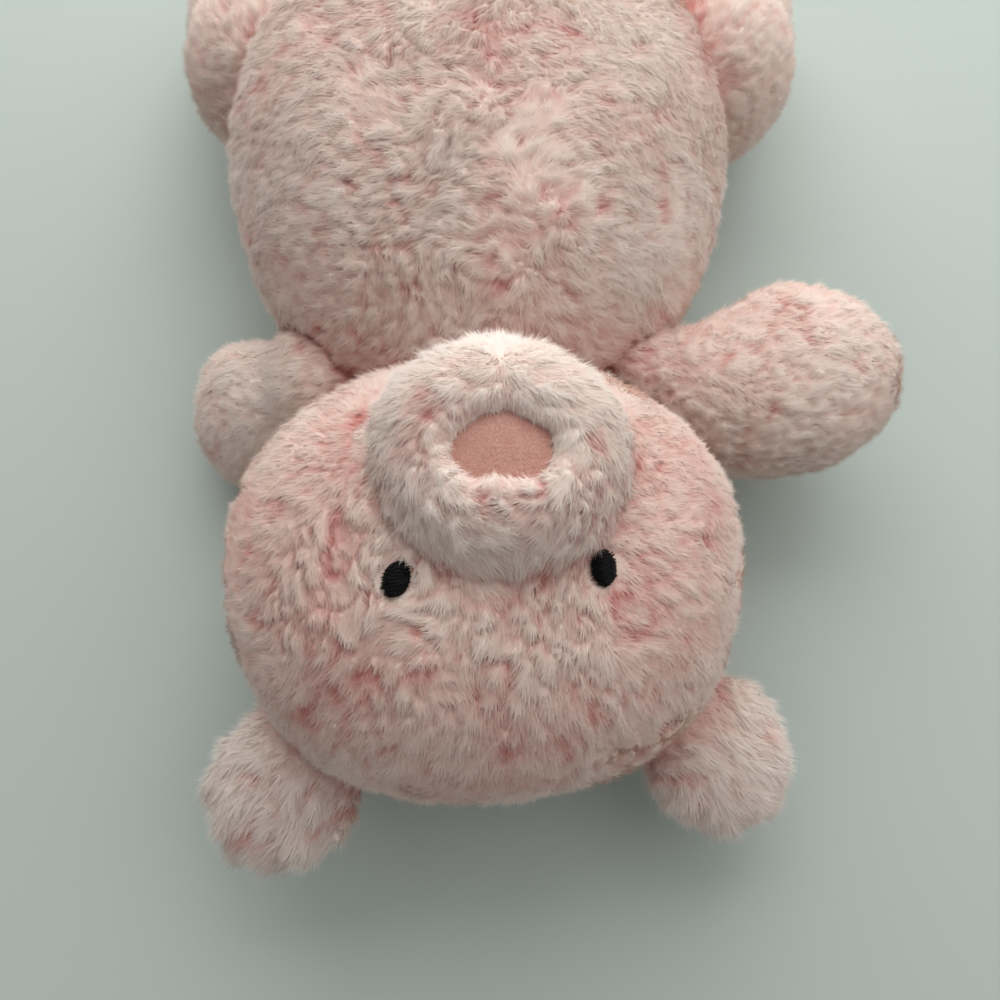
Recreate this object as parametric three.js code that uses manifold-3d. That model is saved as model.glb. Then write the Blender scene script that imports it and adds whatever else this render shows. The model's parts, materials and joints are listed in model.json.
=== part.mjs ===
// A plush bear lying on its back, in millimetres.
// +Z points up out of its belly and face, +Y runs from its head to its feet, and Z = 0 is the table.
// Each soft form is a plush cover, cut into its sewn panels, round a filling of fibre.
// The head and limbs each have their own group, whose origin is the seam that they turn about.
import * as THREE from "three";
import { mergeVertices } from "three/addons/utils/BufferGeometryUtils.js";
import Module from "manifold-3d";

const wasm = await Module();
wasm.setup();

// Cloth and clearances
const coverThickness = 4; // backing cloth and the dense foot of the pile
const fillingGap = 0.4; // between a cover and its filling
const seamGap = 0.3; // between two sewn panels
const jointGap = 0.4; // between a limb's round root and the hollow it lies in
const restDepth = 0.5; // how far a soft form is pressed flat where it lies on the table
const ballSegments = 18;
const beyond = 1000; // more than the bear's own length, for blocks that cut it
const innerDetail = 0.56; // faces of a hidden inner surface, as a share of the outer one's

// Body: half widths and half heights at even steps from the neck to the seat
const body = {
  start: 58,
  length: 190,
  halfWidths: [76, 82, 86, 88, 86],
  halfHeights: [46, 53, 56, 56, 54],
  bluntness: 0.7,
  squareness: 2.2,
  sideways: -5, // its weight lies a little to one side of the front seam
  rings: 12,
  sides: 20,
};
const frontSeamX = 1;

// Head, in its own group
const neck = { x: -6, y: 62, z: 50, radius: 35 };
const head = {
  length: 132,
  neckOverlap: 3, // how far the head reaches past the neck seam's centre
  halfWidths: [72, 80, 79, 77, 75],
  halfHeights: [55, 56, 56, 56, 55],
  bluntness: 0.7,
  squareness: 2.15,
  rings: 12,
  sides: 20,
};
const headTurn = 4; // degrees, turned a little on the table
const headRoll = 4; // degrees, the face turned a little to the bear's own right
const headNod = 14; // degrees that the face can tip towards the chest

// Muzzle, a mound on the face between the eyes and the chest
const muzzle = {
  fromNeck: 43, // along the head from the neck seam
  sideways: 2,
  baseHeight: 66,
  length: 64,
  halfWidths: [36, 37, 36, 33, 30],
  halfHeights: [31, 32, 31, 29, 27],
  bluntness: 0.72,
  squareness: 2.1,
  rings: 9,
  sides: 16,
};
const nose = { halfWidth: 14, halfHeight: 10, recess: 1.6, thickness: 1.8, towardsCrown: 1, sides: 7 };
const eye = { halfWidth: 4.3, halfLength: 5, proud: 2.2, apart: 53, fromNeck: 74, sides: 14 };
const slopeReach = 2; // how far to each side of an eye the slope of the face is taken

const ear = {
  length: 48,
  halfWidths: [17, 19, 21, 21, 18],
  halfThickness: 6.5,
  apart: 136,
  sideways: 3,
  fromNeck: 123,
  height: 42,
  spread: 38, // degrees between the ear's own axis and the head's
  droop: 12,
  bluntness: 0.8,
  squareness: 2,
  rings: 6,
  sides: 12,
};

// Arms: half widths and half heights at even steps from the shoulder to the paw
const arm = {
  halfWidths: [23, 27, 29, 31, 29],
  halfHeights: [19, 22, 24, 24, 23],
  bluntness: 0.78,
  squareness: 2.1,
  rings: 8,
  sides: 12,
};
const shoulder = { apart: 104, y: 70, z: 46, radius: 20 };
// heading: degrees from straight out, plus towards the feet; bend: how far the paw turns on past it.
// The left paw is folded under its own arm, so that arm reaches less far.
const armPoses = {
  left: { side: -1, length: 62, heading: 0, bend: -8, rests: true, towardsHead: 12, towardsFeet: 45 },
  right: { side: 1, length: 91, heading: -12, bend: 40, rests: false, towardsHead: 12, towardsFeet: 36 },
};
const armRise = 3; // degrees, how an arm that doesn't lie on the table points up
const cheekSide = 115; // degrees from an arm's own length to the way that its side beside the head faces

// Legs: half widths and half heights at even steps from the hip to the sole
const leg = {
  length: 102,
  halfWidths: [30, 32, 33, 32, 30],
  halfHeights: [30, 32, 32, 31, 29],
  bluntness: 0.6,
  squareness: 2.1,
  rings: 8,
  sides: 12,
};
const hip = { apart: 164, sideways: -1, y: 201, z: 52, radius: 32 };
const legSplay = 13; // degrees outwards from straight down
const legFold = 50; // degrees that a leg folds up towards sitting
const swingStep = 6; // degrees between the places that a form is trimmed for as it swings
const sole = { radius: 22, thickness: 3, sides: 16 };

const steepestRest = 60; // degrees, the most that a limb can hang down to lie on the table
const restHalvings = 40; // how often the search for a limb's resting angle halves its range

const pelletBag = {
  halfWidth: 42,
  halfLength: 26,
  halfHeight: 17,
  fromSeat: 62,
  height: 32,
  slitWidth: 1.2, // in the filling, where the bag was pushed in
  bluntness: 1,
  squareness: 2.2,
  rings: 6,
  sides: 12,
};

const colours = {
  plush: "#e9bfb9",
  palePlush: "#efd6d0",
  felt: "#d0918b",
  thread: "#141215",
  fibre: "#f2efe8",
  lining: "#d9d2c6",
};

const degrees = THREE.MathUtils.degToRad;

// Solids

function solidFrom(geometry) {
  const bare = new THREE.BufferGeometry();
  bare.setAttribute("position", geometry.getAttribute("position"));
  if (geometry.index) bare.setIndex(geometry.index);
  const merged = mergeVertices(bare, 1e-4);
  return new wasm.Manifold(
    new wasm.Mesh({
      numProp: 3,
      vertProperties: new Float32Array(merged.attributes.position.array),
      triVerts: new Uint32Array(merged.index.array),
    }),
  );
}

function place(solid, matrix) {
  return solid.transform(matrix.toArray());
}

function geometryOf(solid) {
  const made = solid.getMesh();
  const geometry = new THREE.BufferGeometry();
  geometry.setAttribute("position", new THREE.BufferAttribute(new Float32Array(made.vertProperties), 3));
  geometry.setIndex(new THREE.BufferAttribute(new Uint32Array(made.triVerts), 1));
  const flat = geometry.toNonIndexed();
  flat.computeVertexNormals();
  return flat;
}

// How many faces go round a surface that lies this far inside its form.
function detail(count, inset) {
  return inset < coverThickness ? count : Math.round(count * innerDetail);
}

function ball(radius, inset = 0) {
  const segments = detail(ballSegments, inset);
  return solidFrom(new THREE.SphereGeometry(radius - inset, segments, Math.round(segments / 2)));
}

// A ball whose flat facets all lie outside the given radius, to hollow a form with.
function hollowBall(radius, inset = 0) {
  const sag = Math.cos(Math.PI / detail(ballSegments, inset)) ** 2;
  return ball((radius + jointGap + inset) / sag + inset, inset);
}

// Everything on one side of a plane: axis is x, y or z, and side is 1 or -1.
function halfSpace(axis, side, from) {
  const block = new THREE.BoxGeometry(beyond, beyond, beyond);
  const centre = new THREE.Vector3();
  centre[axis] = from + (side * beyond) / 2;
  block.translate(centre.x, centre.y, centre.z);
  return solidFrom(block);
}

// A value from a list of even steps, smoothly joined, at a share of the way along.
function along(list, share) {
  const points = list.map((value, i) => new THREE.Vector2(i, value));
  return new THREE.SplineCurve(points).getPoint(share).y;
}

// The sections of a plump form that starts at the origin and runs along +X, bending in the XY plane.
function sections(spec, inset = 0) {
  const half = spec.length / 2;
  const bend = degrees(spec.bend ?? 0);
  const list = [];
  const rings = detail(spec.rings, inset);
  for (let i = 0; i <= rings; i++) {
    const turn = (Math.PI * i) / rings;
    const at = half - (half - inset) * Math.cos(turn);
    const share = THREE.MathUtils.clamp(at / spec.length, 0, 1);
    const heading = bend * share;
    const arc = heading === 0 ? 1 : Math.sin(heading / 2) / (heading / 2);
    const swell = Math.max(0, Math.sin(turn)) ** spec.bluntness;
    list.push({
      at,
      heading,
      centre: new THREE.Vector3(
        at * arc * Math.cos(heading / 2),
        at * arc * Math.sin(heading / 2),
        0,
      ),
      halfWidth: swell * (along(spec.halfWidths, share) - inset),
      halfHeight: swell * (along(spec.halfHeights, share) - inset),
      isPole: i === 0 || i === rings,
    });
  }
  return list;
}

// A closed plump form: rounded rings between two poles.
function plumpForm(spec, inset = 0) {
  const positions = [];
  const faces = [];
  const sides = detail(spec.sides, inset);
  const rings = sections(spec, inset).map((section) => {
    if (section.isPole) {
      positions.push(section.centre.x, section.centre.y, section.centre.z);
      return Array(sides).fill(positions.length / 3 - 1);
    }
    const ring = [];
    for (let j = 0; j < sides; j++) {
      const turn = (2 * Math.PI * j) / sides;
      const round = 2 / spec.squareness;
      const across = Math.sign(Math.cos(turn)) * Math.abs(Math.cos(turn)) ** round * section.halfWidth;
      const up = Math.sign(Math.sin(turn)) * Math.abs(Math.sin(turn)) ** round * section.halfHeight;
      positions.push(
        section.centre.x - across * Math.sin(section.heading),
        section.centre.y + across * Math.cos(section.heading),
        section.centre.z + up,
      );
      ring.push(positions.length / 3 - 1);
    }
    return ring;
  });
  for (let i = 0; i < rings.length - 1; i++) {
    for (let j = 0; j < sides; j++) {
      const next = (j + 1) % sides;
      const [a, b, c, d] = [rings[i][j], rings[i][next], rings[i + 1][next], rings[i + 1][j]];
      if (a !== b) faces.push(a, b, d);
      if (c !== d) faces.push(b, c, d);
    }
  }
  const geometry = new THREE.BufferGeometry();
  geometry.setAttribute("position", new THREE.Float32BufferAttribute(positions, 3));
  geometry.setIndex(faces);
  return solidFrom(geometry);
}

// The angle, down from level, at which a form hinged at this height lies on the table.
function restingAngle(spec, height) {
  let low = degrees(-steepestRest);
  let high = degrees(steepestRest);
  for (let i = 0; i < restHalvings; i++) {
    const middle = (low + high) / 2;
    const lowest = Math.min(
      ...sections(spec).map(
        (s) => height - s.centre.x * Math.sin(middle) - s.halfHeight * Math.cos(middle),
      ),
    );
    if (lowest > -restDepth) low = middle;
    else high = middle;
  }
  return (low + high) / 2;
}

// Scene graph

const bear = new THREE.Group();

function addPiece(group, name, solid, colour, roughness = 0.95) {
  const material = new THREE.MeshStandardMaterial({ color: colour, roughness, metalness: 0 });
  const mesh = new THREE.Mesh(geometryOf(solid), material);
  mesh.name = name;
  group.add(mesh);
}

function addGroup(name, position, rotation) {
  const group = new THREE.Group();
  group.name = name;
  group.position.copy(position);
  group.setRotationFromEuler(rotation);
  group.updateMatrix();
  bear.add(group);
  return group;
}

// What lies at least this high above the table, in a group's own frame.
function aboveTable(group, height = 0) {
  return place(halfSpace("z", 1, height), group.matrix.clone().invert());
}

// The ways back from the bear's frame into a group's own, at steps of its swing about an axis.
function placesOfSwing(group, { axis, low, high }) {
  const steps = Math.ceil((high - low) / swingStep);
  return Array.from({ length: steps + 1 }, (_, i) => {
    const turn = new THREE.Matrix4().makeRotationAxis(axis, degrees(low + ((high - low) * i) / steps));
    return new THREE.Matrix4()
      .makeTranslation(group.position.x, group.position.y, group.position.z)
      .multiply(turn)
      .multiply(new THREE.Matrix4().makeRotationFromQuaternion(group.quaternion))
      .invert();
  });
}

// A form in a group's own frame, less what would push into a shape of the bear's as it swings.
function trimmedFor(form, group, swing, shape) {
  return placesOfSwing(group, swing).reduce((left, back) => left.subtract(place(shape, back)), form);
}

// A form in a group's own frame, cut flat where it faces shapes of the bear's at the low end of its swing.
function flattenedBeside(form, group, swing, facing, shapes) {
  const [nearest] = placesOfSwing(group, swing);
  const facingWay = new THREE.Matrix4().makeRotationZ(-degrees(facing));
  const reach = Math.min(
    ...shapes.map((shape) => place(place(shape, nearest), facingWay).boundingBox().min[0]),
  );
  return form.intersect(place(halfSpace("x", -1, reach), facingWay.invert()));
}

// Body

const bodyHeight = Math.max(...sections(body).map((s) => s.halfHeight)) - restDepth;
const bodyPlace = new THREE.Matrix4()
  .makeTranslation(body.sideways, body.start, bodyHeight)
  .multiply(new THREE.Matrix4().makeRotationZ(Math.PI / 2));
const neckCentre = new THREE.Vector3(neck.x, neck.y, neck.z);
const shoulderCentres = {
  left: new THREE.Vector3(body.sideways - shoulder.apart / 2, shoulder.y, shoulder.z),
  right: new THREE.Vector3(body.sideways + shoulder.apart / 2, shoulder.y, shoulder.z),
};
const hipCentres = {
  left: new THREE.Vector3(hip.sideways - hip.apart / 2, hip.y, hip.z),
  right: new THREE.Vector3(hip.sideways + hip.apart / 2, hip.y, hip.z),
};

function at(solid, centre) {
  return solid.translate(centre.toArray());
}

function bodyShape(inset) {
  return place(plumpForm(body, inset), bodyPlace);
}

function bodyForm(inset) {
  let form = bodyShape(inset).add(at(ball(neck.radius, inset), neckCentre));
  for (const centre of Object.values(shoulderCentres)) {
    form = form.subtract(at(hollowBall(shoulder.radius, inset), centre));
  }
  for (const centre of Object.values(hipCentres)) {
    form = form.subtract(at(hollowBall(hip.radius, inset), centre));
  }
  return form.intersect(halfSpace("z", 1, inset));
}

const pelletStart = body.start + body.length - pelletBag.fromSeat - pelletBag.halfLength;
const pelletPlace = new THREE.Matrix4()
  .makeTranslation(body.sideways, pelletStart, pelletBag.height)
  .multiply(new THREE.Matrix4().makeRotationZ(Math.PI / 2));

function pelletForm(grow) {
  const spec = {
    length: 2 * pelletBag.halfLength,
    halfWidths: [pelletBag.halfWidth, pelletBag.halfWidth],
    halfHeights: [pelletBag.halfHeight, pelletBag.halfHeight],
    bluntness: pelletBag.bluntness,
    squareness: pelletBag.squareness,
    rings: pelletBag.rings,
    sides: pelletBag.sides,
  };
  return place(plumpForm(spec, -grow), pelletPlace);
}

function addBody() {
  const group = addGroup("body", new THREE.Vector3(), new THREE.Euler());
  const cover = bodyForm(0).subtract(bodyForm(coverThickness));
  const sideSeam = bodyHeight;
  const front = cover.intersect(halfSpace("z", 1, sideSeam + seamGap / 2));
  const back = cover.intersect(halfSpace("z", -1, sideSeam - seamGap / 2));
  for (const [name, side] of [["left", -1], ["right", 1]]) {
    const half = halfSpace("x", side, frontSeamX + (side * seamGap) / 2);
    addPiece(group, `body_front_${name}`, front.intersect(half), colours.plush);
    addPiece(group, `body_back_${name}`, back.intersect(half), colours.plush);
  }
  const filling = bodyForm(coverThickness + fillingGap).subtract(pelletForm(fillingGap));
  addPiece(group, "body_filling", openTo(filling, pelletForm(0)), colours.fibre);
  addPiece(group, "pellet_bag", pelletForm(0), colours.lining);
}

// The filling is packed round the bag from the back, through a slit that keeps it one open body.
function openTo(filling, bag) {
  const box = bag.boundingBox();
  const slitHeight = box.min[2] + pelletBag.halfHeight;
  const slit = new THREE.BoxGeometry(pelletBag.slitWidth, box.max[1] - box.min[1], slitHeight);
  slit.translate((box.min[0] + box.max[0]) / 2, (box.min[1] + box.max[1]) / 2, slitHeight / 2);
  return filling.subtract(solidFrom(slit));
}

// Head

const headStart = head.neckOverlap;
const headHeight = Math.max(...sections(head).map((s) => s.halfHeight)) - restDepth - neck.z;
const headPlace = new THREE.Matrix4()
  .makeTranslation(0, headStart, headHeight)
  .multiply(new THREE.Matrix4().makeRotationZ(-Math.PI / 2));

function headShape(inset) {
  return place(plumpForm(head, inset), headPlace);
}

const headRotation = new THREE.Euler(0, degrees(headRoll), degrees(headTurn), "ZYX");
const headGroup = addGroup("head", neckCentre, headRotation);
const nod = { axis: new THREE.Vector3(-1, 0, 0), low: 0, high: headNod };

function headForm(inset) {
  const form = trimmedFor(headShape(inset), headGroup, nod, bodyShape(-jointGap - inset));
  return form.subtract(hollowBall(neck.radius, inset)).intersect(aboveTable(headGroup, inset));
}

// The head's shapes in the bear's frame, all through its nod.
function noddingHeads(inset) {
  return placesOfSwing(headGroup, nod).map((back) => place(headShape(inset), back.invert()));
}

// The muzzle's own frame: its origin at its base, and its +X the way that it points.
const muzzlePlace = new THREE.Matrix4()
  .makeTranslation(muzzle.sideways, -muzzle.fromNeck, muzzle.baseHeight - neck.z)
  .multiply(new THREE.Matrix4().makeRotationY(-Math.PI / 2));

function muzzleForm(inset) {
  return place(plumpForm(muzzle, inset), muzzlePlace);
}

function nosePrism(grow) {
  const outline = new THREE.Shape();
  outline.absellipse(0, 0, nose.halfWidth + grow, nose.halfHeight + grow, 0, 2 * Math.PI);
  const prism = new THREE.ExtrudeGeometry(outline, {
    depth: muzzle.length,
    bevelEnabled: false,
    curveSegments: nose.sides,
  });
  const height = muzzle.baseHeight - neck.z + muzzle.length / 2;
  prism.translate(muzzle.sideways, -muzzle.fromNeck - nose.towardsCrown, height);
  return solidFrom(prism);
}

// The highest point of the head above a place on its plan.
function faceHeight(x, y) {
  const needle = new THREE.BoxGeometry(seamGap, seamGap, beyond);
  needle.translate(x, y, beyond / 2);
  return headShape(0).intersect(solidFrom(needle)).boundingBox().max[2];
}

function eyeForm(side) {
  const x = (side * eye.apart) / 2;
  const y = -eye.fromNeck;
  const rise = faceHeight(x + slopeReach, y) - faceHeight(x - slopeReach, y);
  const slope = Math.atan2(rise, 2 * slopeReach);
  const pad = new THREE.SphereGeometry(1, eye.sides, Math.round(eye.sides / 2));
  pad.scale(eye.halfWidth, eye.halfLength, eye.proud);
  pad.rotateY(-slope);
  pad.translate(x, y, faceHeight(x, y));
  return solidFrom(pad).subtract(headShape(-seamGap));
}

function earForm(side) {
  const spec = {
    length: ear.length,
    halfWidths: ear.halfWidths,
    halfHeights: [ear.halfThickness, ear.halfThickness],
    bluntness: ear.bluntness,
    squareness: ear.squareness,
    rings: ear.rings,
    sides: ear.sides,
  };
  const placeEar = new THREE.Matrix4()
    .makeTranslation(ear.sideways + (side * ear.apart) / 2, -ear.fromNeck, ear.height - neck.z)
    .multiply(new THREE.Matrix4().makeRotationZ(degrees(-90 + side * ear.spread)))
    .multiply(new THREE.Matrix4().makeRotationY(degrees(ear.droop)))
    .multiply(new THREE.Matrix4().makeTranslation(-ear.length / 2, 0, 0));
  const room = headShape(-seamGap);
  const whole = plumpForm(spec);
  return {
    front: place(whole.intersect(halfSpace("z", 1, seamGap / 2)), placeEar).subtract(room),
    back: place(whole.intersect(halfSpace("z", -1, -seamGap / 2)), placeEar).subtract(room),
  };
}

function addHead() {
  const group = headGroup;
  const cover = headForm(0).subtract(headForm(coverThickness));
  const sideSeam = headHeight;
  const face = cover.intersect(halfSpace("z", 1, sideSeam + seamGap / 2));
  addPiece(group, "head_back", cover.intersect(halfSpace("z", -1, sideSeam - seamGap / 2)), colours.plush);
  addPiece(group, "head_filling", headForm(coverThickness + fillingGap), colours.fibre);

  const room = headShape(-seamGap);
  const muzzleCover = muzzleForm(0).subtract(muzzleForm(coverThickness)).subtract(room);
  const noseBed = muzzleForm(nose.recess).subtract(muzzleForm(nose.recess + nose.thickness));
  const muzzleFilling = muzzleForm(coverThickness + fillingGap).subtract(room);
  addPiece(group, "muzzle_cover", muzzleCover.subtract(nosePrism(seamGap)), colours.palePlush);
  addPiece(group, "muzzle_filling", muzzleFilling, colours.fibre);
  addPiece(group, "nose_patch", noseBed.intersect(nosePrism(0)), colours.felt);

  for (const [name, side] of [["left", -1], ["right", 1]]) {
    const half = halfSpace("x", side, (side * seamGap) / 2);
    addPiece(group, `face_${name}`, face.intersect(half), colours.plush);
    addPiece(group, `eye_${name}`, eyeForm(side), colours.thread, 0.6);
    const { front, back } = earForm(side);
    addPiece(group, `ear_${name}_front`, front, colours.plush);
    addPiece(group, `ear_${name}_back`, back, colours.plush);
  }
}

// Limbs, each along its own +X from the seam

// A limb's plump form, trimmed for its swing past the body, with its round root.
function limbForm(spec, root, group, swing, inset) {
  const swung = trimmedFor(plumpForm(spec, inset), group, swing, bodyShape(-jointGap - inset));
  return swung.add(ball(root.radius, inset)).intersect(aboveTable(group, inset));
}

// An arm's form, pressed flat beside the head and clear of it through both their swings.
function armForm(spec, group, swing, facing, inset) {
  const heads = noddingHeads(-jointGap - inset);
  const flat = flattenedBeside(limbForm(spec, shoulder, group, swing, inset), group, swing, facing, heads);
  return heads.reduce((left, shape) => trimmedFor(left, group, swing, shape), flat);
}

function addLimb(name, centre, rotation, formIn) {
  const group = addGroup(name, centre, rotation);
  const form = (inset) => formIn(group, inset);
  return {
    group,
    cover: form(0).subtract(form(coverThickness)),
    filling: form(coverThickness + fillingGap),
  };
}

function addPanels(name, { group, cover, filling }, trimmed = (solid) => solid) {
  const upper = cover.intersect(halfSpace("z", 1, seamGap / 2));
  const lower = cover.intersect(halfSpace("z", -1, -seamGap / 2));
  addPiece(group, `${name}_upper`, trimmed(upper), colours.plush);
  addPiece(group, `${name}_lower`, trimmed(lower), colours.plush);
  addPiece(group, `${name}_filling`, filling, colours.fibre);
}

function addArms() {
  for (const [name, pose] of Object.entries(armPoses)) {
    const spec = { ...arm, length: pose.length, bend: pose.side * pose.bend };
    const down = pose.rests ? restingAngle(spec, shoulder.z) : -degrees(armRise);
    const outwards = pose.side > 0 ? degrees(pose.heading) : Math.PI - degrees(pose.heading);
    const rotation = new THREE.Euler(0, down, outwards, "ZYX");
    const towardsFeet = new THREE.Vector3(0, 0, pose.side);
    const swing = { axis: towardsFeet, low: -pose.towardsHead, high: pose.towardsFeet };
    const formIn = (group, inset) => armForm(spec, group, swing, -pose.side * cheekSide, inset);
    addPanels(`arm_${name}`, addLimb(`arm_${name}`, shoulderCentres[name], rotation, formIn));
  }
}

function addLegs() {
  for (const [name, side] of [["left", -1], ["right", 1]]) {
    const heading = degrees(90 - side * legSplay);
    const rotation = new THREE.Euler(0, restingAngle(leg, hip.z), heading, "ZYX");
    const swing = { axis: new THREE.Vector3(1, 0, 0), low: 0, high: legFold };
    const formIn = (group, inset) => limbForm(leg, hip, group, swing, inset);
    const parts = addLimb(`leg_${name}`, hipCentres[name], rotation, formIn);
    addPanels(`leg_${name}`, parts, (solid) => solid.subtract(soleDisc(seamGap)));
    const pad = plumpForm(leg, 0).subtract(plumpForm(leg, sole.thickness)).intersect(soleDisc(0));
    addPiece(parts.group, `sole_${name}`, pad.intersect(aboveTable(parts.group)), colours.plush);
  }
}

// The round of cloth that closes a leg's far end.
function soleDisc(grow) {
  const disc = new THREE.CylinderGeometry(sole.radius + grow, sole.radius + grow, leg.length, sole.sides);
  disc.rotateZ(Math.PI / 2);
  disc.translate(leg.length, 0, 0);
  return solidFrom(disc);
}

addBody();
addHead();
addArms();
addLegs();

// The part's own origin is under the middle of its outer box.
const part = new THREE.Group();
const box = new THREE.Box3().setFromObject(bear, true);
bear.position.set(-(box.min.x + box.max.x) / 2, -(box.min.y + box.max.y) / 2, 0);
part.add(bear);

export default part;
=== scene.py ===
import json
import math

import bmesh
import bpy
import numpy as np
from mathutils import Matrix, Vector, noise
from mathutils.bvhtree import BVHTree


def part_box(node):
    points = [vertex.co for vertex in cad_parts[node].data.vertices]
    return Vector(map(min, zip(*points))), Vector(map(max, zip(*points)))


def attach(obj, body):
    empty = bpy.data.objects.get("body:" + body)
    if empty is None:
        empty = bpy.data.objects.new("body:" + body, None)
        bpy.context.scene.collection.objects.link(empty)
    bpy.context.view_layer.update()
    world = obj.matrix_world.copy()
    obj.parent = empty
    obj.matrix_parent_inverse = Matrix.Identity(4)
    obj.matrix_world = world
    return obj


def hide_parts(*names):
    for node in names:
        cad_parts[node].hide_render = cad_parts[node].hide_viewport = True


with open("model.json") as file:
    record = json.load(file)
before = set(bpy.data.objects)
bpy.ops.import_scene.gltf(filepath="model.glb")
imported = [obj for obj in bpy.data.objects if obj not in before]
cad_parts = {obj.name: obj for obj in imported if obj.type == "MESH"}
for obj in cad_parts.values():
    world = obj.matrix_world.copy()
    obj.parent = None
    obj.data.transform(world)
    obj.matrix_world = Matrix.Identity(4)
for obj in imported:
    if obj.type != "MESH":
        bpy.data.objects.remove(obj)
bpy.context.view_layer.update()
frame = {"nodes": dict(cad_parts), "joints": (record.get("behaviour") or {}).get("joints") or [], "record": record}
nodes = frame["nodes"]
bodyNodes = frame["record"]["behaviour"]["bodies"]
jointAt = {joint["child"]: np.array(joint["pos_m"]) for joint in frame["joints"]}
mm = 0.001
sides = ("left", "right")
limbs = ("arm_left", "arm_right", "leg_left", "leg_right")
headCovers = ("head_back", "face_left", "face_right")
print("frame loaded:", len(nodes), "nodes")


# Meshes and numbers

def link(name, mesh):
    made = bpy.data.objects.new(name, mesh)
    bpy.context.scene.collection.objects.link(made)
    return made


def read(items, key, width=3, kind=float):
    values = np.zeros(len(items) * width, kind)
    items.foreach_get(key, values)
    return values.reshape(-1, width)


def points(mesh):
    return read(mesh.vertices, "co")


def normals(mesh):
    return read(mesh.vertex_normals, "vector")


def setPoints(mesh, co):
    mesh.vertices.foreach_set("co", co.ravel())
    mesh.update()


def storeOn(mesh, name, values, kind="FLOAT", domain="POINT"):
    layer = mesh.attributes.new(name, kind, domain)
    key = "vector" if kind == "FLOAT_VECTOR" else "value"
    layer.data.foreach_set(key, np.ascontiguousarray(values).ravel())


def bell(distance, width):
    return np.exp(-((distance / width) ** 2))


def smoothStep(value, low, high):
    share = np.clip((value - low) / (high - low), 0, 1)
    return share * share * (3 - 2 * share)


def noiseAt(co, size, seed):
    place = Vector((seed * 7.3, seed * 3.1, seed * 1.7))
    return np.array([noise.noise(Vector(p) / size + place) for p in co])


def unit(vectors):
    return vectors / np.maximum(np.linalg.norm(vectors, axis=-1, keepdims=True), 1e-9)


# The value for the body whose name this one starts with.
def ofBody(values, name):
    return next(value for key, value in values.items() if name.startswith(key))


def settle(made):
    # the evaluated mesh takes the object's own place, and its modifiers go
    depsgraph = bpy.context.evaluated_depsgraph_get()
    mesh = bpy.data.meshes.new_from_object(made.evaluated_get(depsgraph), depsgraph=depsgraph)
    made.modifiers.clear()
    old = made.data
    made.data = mesh
    bpy.data.meshes.remove(old)
    return made


# Node trees

def putIn(tree, kind, values=None, **settings):
    made = tree.nodes.new(kind)
    for name, value in settings.items():
        setattr(made, name, value)
    for key, value in (values or {}).items():
        socket = made.inputs[key] if isinstance(key, int) else next(
            s for s in made.inputs if s.name == key and s.enabled)
        if isinstance(value, bpy.types.NodeSocket):
            tree.links.new(value, socket)
        else:
            socket.default_value = value
    return made


def out(made, name=None):
    return next(s for s in made.outputs if s.enabled and name in (None, s.name))


# A node in the tree that the sockets among its values are in.
def put(kind, values, **settings):
    tree = next(value.id_data for value in values.values() if isinstance(value, bpy.types.NodeSocket))
    return putIn(tree, kind, values, **settings)


def maths(operation, *values, clamp=False):
    return out(put("ShaderNodeMath", dict(enumerate(values)), operation=operation, use_clamp=clamp))


def times(a, b, clamp=False):
    return maths("MULTIPLY", a, b, clamp=clamp)


def plus(a, b, clamp=False):
    return maths("ADD", a, b, clamp=clamp)


def minus(a, b, clamp=False):
    return maths("SUBTRACT", a, b, clamp=clamp)


def timesPlus(a, b, c):
    return maths("MULTIPLY_ADD", a, b, c)


def within(value, low, high):
    return maths("MINIMUM", maths("MAXIMUM", value, low), high)


def vectors(operation, *values):
    return out(put("ShaderNodeVectorMath", dict(enumerate(values)), operation=operation))


def scaled(vector, amount):
    return out(put("ShaderNodeVectorMath", {0: vector, "Scale": amount}, operation="SCALE"))


def joined(a, b):
    return vectors("ADD", a, b)


def named(tree, name, kind="FLOAT"):
    return out(putIn(tree, "GeometryNodeInputNamedAttribute", {"Name": name}, data_type=kind), "Attribute")


def random(low, high, seed, step, kind="FLOAT"):
    values = {"Min": low, "Max": high, "Seed": plus(seed, float(step))}
    return out(put("FunctionNodeRandomValue", values, data_type=kind), "Value")


def store(geometry, name, value, kind="FLOAT", domain="POINT"):
    values = {"Geometry": geometry, "Name": name, "Value": value}
    return out(put("GeometryNodeStoreNamedAttribute", values, data_type=kind, domain=domain))


def moveTo(geometry, spot):
    return out(put("GeometryNodeSetPosition", {"Geometry": geometry, "Position": spot}))


def paint(geometry, material):
    values = {"Geometry": geometry, "Material": material}
    return out(put("GeometryNodeSetMaterial", values))


# Sockets for some named values, and for what has no value of its own.
def openTree(name, values, others):
    tree = bpy.data.node_groups.new(name, "GeometryNodeTree")
    tree.interface.new_socket("Geometry", in_out="OUTPUT", socket_type="NodeSocketGeometry")
    kinds = {"Geometry": "Geometry"}
    kinds.update({label: "Int" if isinstance(value, int) else "Float" for label, value in values.items()})
    kinds.update(others)
    for label, kind in kinds.items():
        tree.interface.new_socket(label, in_out="INPUT", socket_type="NodeSocket" + kind)
    return tree, putIn(tree, "NodeGroupInput").outputs


def runTree(made, tree, values):
    modifier = made.modifiers.new(tree.name, "NODES")
    modifier.node_group = tree
    for item in tree.interface.items_tree:
        if item.in_out == "INPUT" and item.name in values:
            modifier[item.identifier] = values[item.name]
    return settle(made)


def noiseColour(at, shift, detail=1.0):
    moved = joined(at, (shift * 3.7, shift * 1.9, shift * 5.1))
    texture = put("ShaderNodeTexNoise", {"Vector": moved, "Scale": 1.0, "Detail": detail},
                  noise_dimensions="3D")
    return vectors("SUBTRACT", texture.outputs["Color"], (0.5, 0.5, 0.5))


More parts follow.
